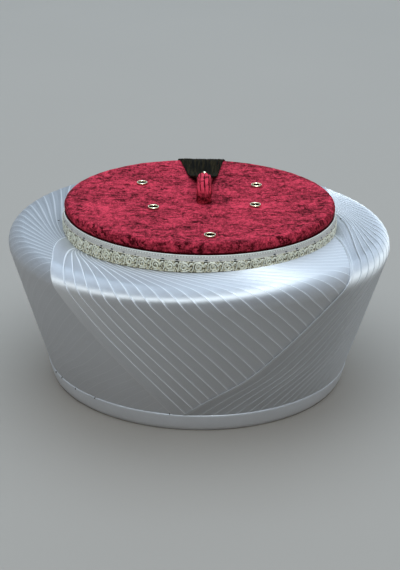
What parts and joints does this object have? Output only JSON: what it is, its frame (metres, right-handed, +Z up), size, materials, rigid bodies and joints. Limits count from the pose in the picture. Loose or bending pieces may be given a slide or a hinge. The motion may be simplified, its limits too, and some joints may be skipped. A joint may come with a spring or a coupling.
{
  "type": "turban",
  "caption": "Ready-wound turban: a low round velvet cap with a metallic trim band, wrapped in pleated satin panels above a smooth hem, with a bent stalk and a thread tassel.",
  "frame": {"origin": "centre of the turban on the surface that its hem rests on", "axes": "+Z up, -Y towards the front, +X to the wearer's left as seen on the right of the front view"},
  "size_m": [0.2662, 0.2662, 0.1411],
  "materials": {
    "velvet": "crushed pile",
    "satin": "smooth sheen",
    "trim": "woven metallic thread",
    "thread": "twisted thread",
    "metal": "polished, pale"
  },
  "bodies": {
    "root": {"cap_crown": "velvet", "crown_band": "trim", "eyelet_front": "metal", "eyelet_left": "metal", "eyelet_right": "metal", "eyelet_back_left": "metal", "eyelet_back_right": "metal", "crown_stem": "velvet", "tassel_bead": "metal", "tassel": "thread", "wrap_front": "satin", "wrap_right": "satin", "wrap_back": "satin", "wrap_left": "satin", "hem_band": "satin"}
  },
  "joints": []
}
